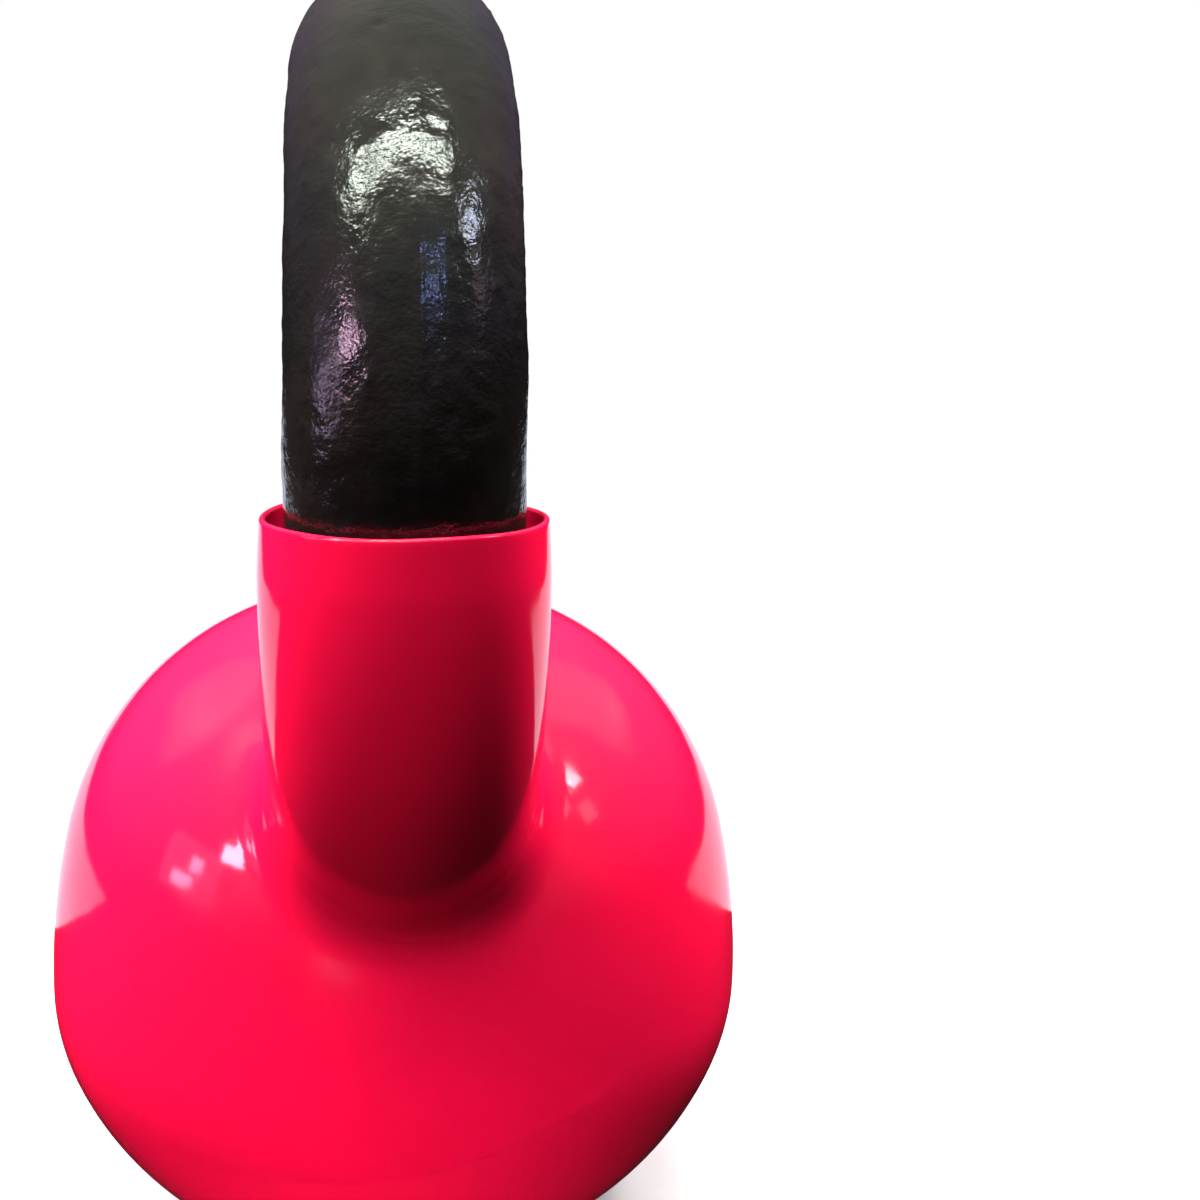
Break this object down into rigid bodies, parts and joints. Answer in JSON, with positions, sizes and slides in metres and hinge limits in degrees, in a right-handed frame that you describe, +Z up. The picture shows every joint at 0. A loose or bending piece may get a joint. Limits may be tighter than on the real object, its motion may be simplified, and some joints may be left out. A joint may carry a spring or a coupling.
{
  "type": "kettlebell",
  "caption": "Kettlebell with a flat-bottomed rounded body, looped grip handle and glossy vinyl skin over the body and lower horns.",
  "frame": {"origin": "centre of the flat base, on the surface the kettlebell stands on", "axes": "+Z up through the middle of the grip bar; X along the grip bar and across the two horns; Y through the hand opening"},
  "size_m": [0.1596, 0.116, 0.2046],
  "materials": {
    "enamelled_iron": "semi-gloss black enamel over a lumpy sand-cast surface",
    "vinyl": "high-gloss hot pink-red vinyl"
  },
  "bodies": {
    "root": {"iron_casting": "enamelled_iron", "vinyl_jacket": "vinyl"}
  },
  "joints": []
}
